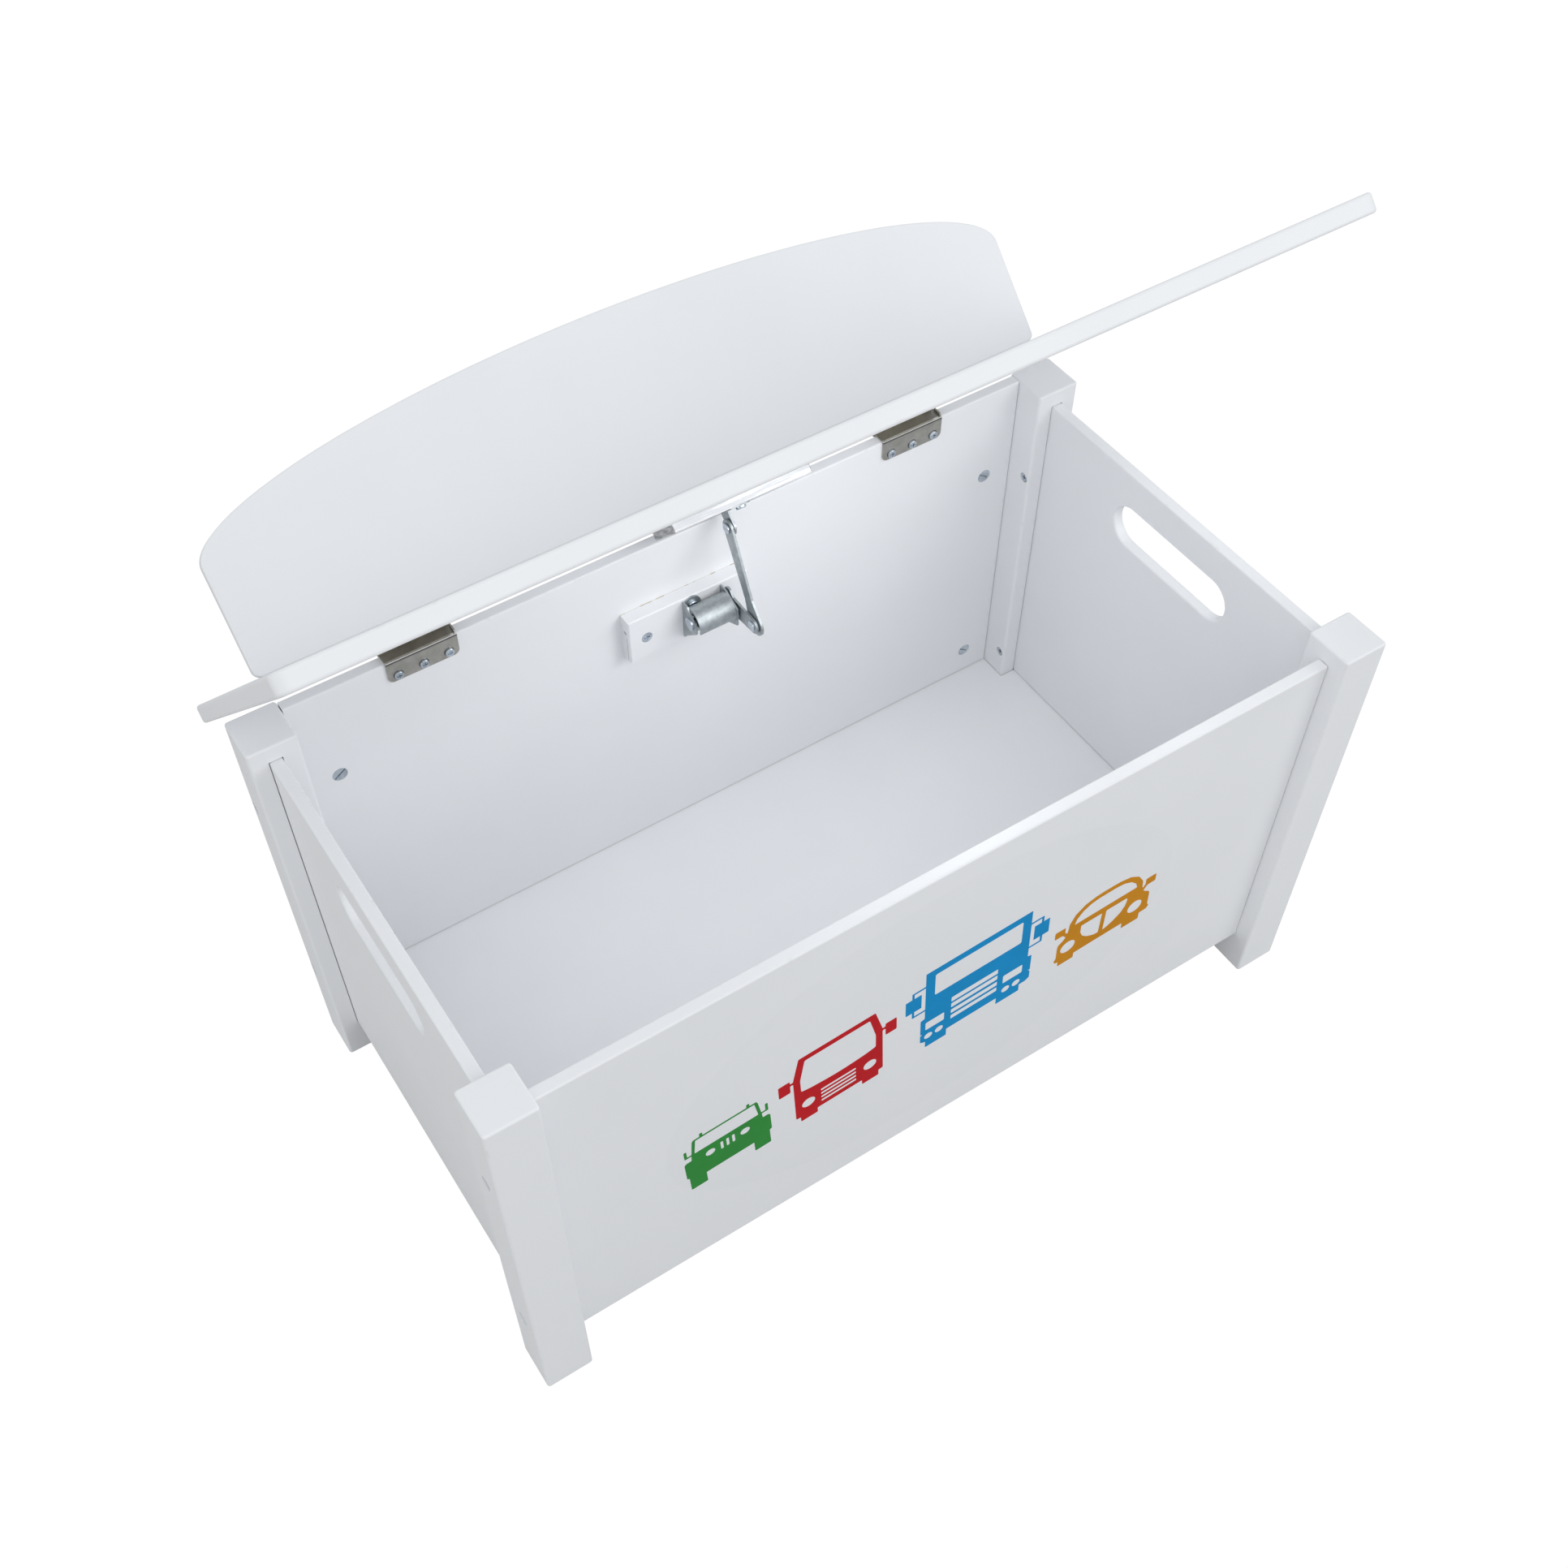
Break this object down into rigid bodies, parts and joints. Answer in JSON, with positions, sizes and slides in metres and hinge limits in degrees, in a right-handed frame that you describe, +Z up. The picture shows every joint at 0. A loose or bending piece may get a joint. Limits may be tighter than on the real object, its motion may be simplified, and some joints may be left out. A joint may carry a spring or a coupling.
{
  "type": "toy box",
  "caption": "Painted wooden toy box with square posts, hand holds, a hinged seat lid that carries an arched backrest, and a linked metal lid stay.",
  "frame": {"origin": "on the floor under the middle of the four posts", "axes": "+Z up, +X to the right along the front, +Y towards the back; the lid stands open about 46 degrees at rest"},
  "size_m": [0.618, 0.4, 0.5614],
  "materials": {
    "white_painted_wood": "satin white paint",
    "nickel_plated_steel": "dull nickel plate",
    "zinc_plated_steel": "zinc plate",
    "spring_steel": "oiled",
    "screw_steel": "bright zinc plate"
  },
  "bodies": {
    "box": {"post_front_left": "white_painted_wood", "post_front_right": "white_painted_wood", "post_rear_left": "white_painted_wood", "post_rear_right": "white_painted_wood", "front_panel": "white_painted_wood", "back_panel": "white_painted_wood", "side_panel_left": "white_painted_wood", "side_panel_right": "white_painted_wood", "base_panel": "white_painted_wood", "stay_block": "white_painted_wood", "hinge_left_box_leaf": "nickel_plated_steel", "hinge_right_box_leaf": "nickel_plated_steel", "hinge_left_pin": "nickel_plated_steel", "hinge_right_pin": "nickel_plated_steel", "box_leaf_screws": "nickel_plated_steel", "stay_bracket": "zinc_plated_steel", "stay_cover": "zinc_plated_steel", "stay_axle": "zinc_plated_steel", "stay_spring": "spring_steel", "frame_bolts": "screw_steel", "barrel_nuts": "screw_steel", "side_lock_screws": "screw_steel", "stay_block_screws": "screw_steel", "stay_bracket_screws": "screw_steel"},
    "lid": {"lid_panel": "white_painted_wood", "backrest_panel": "white_painted_wood", "backrest_screws": "screw_steel", "lid_batten": "white_painted_wood", "batten_screws": "screw_steel", "hinge_left_lid_leaf": "nickel_plated_steel", "hinge_right_lid_leaf": "nickel_plated_steel", "lid_leaf_screws": "nickel_plated_steel", "lid_bracket": "zinc_plated_steel", "lid_bracket_rivet": "zinc_plated_steel", "lid_bracket_screw": "screw_steel"},
    "lever": {"stay_lever": "zinc_plated_steel", "lever_rivet": "zinc_plated_steel"},
    "arm": {"stay_arm": "zinc_plated_steel"}
  },
  "joints": [
    {"name": "lid_hinge", "type": "hinge", "parent": "box", "child": "lid", "pos_m": [0, 0.1608, 0.322], "axis": [-1, 0, 0], "range_deg": [-46.06, 12]},
    {"name": "lever_pivot", "type": "hinge", "parent": "box", "child": "lever", "pos_m": [0.0258, 0.13, 0.263], "axis": [-1, 0, 0], "range_deg": [-46.06, 12]},
    {"name": "arm_pivot", "type": "hinge", "parent": "lever", "child": "arm", "pos_m": [0.0281, 0.10526, 0.26452], "axis": [-1, 0, 0], "range_deg": [-12, 46.06]}
  ],
  "couplings": [
    {"joint": "lever_pivot", "follows": "lid_hinge", "ratio": 1},
    {"joint": "arm_pivot", "follows": "lid_hinge", "ratio": -1}
  ]
}
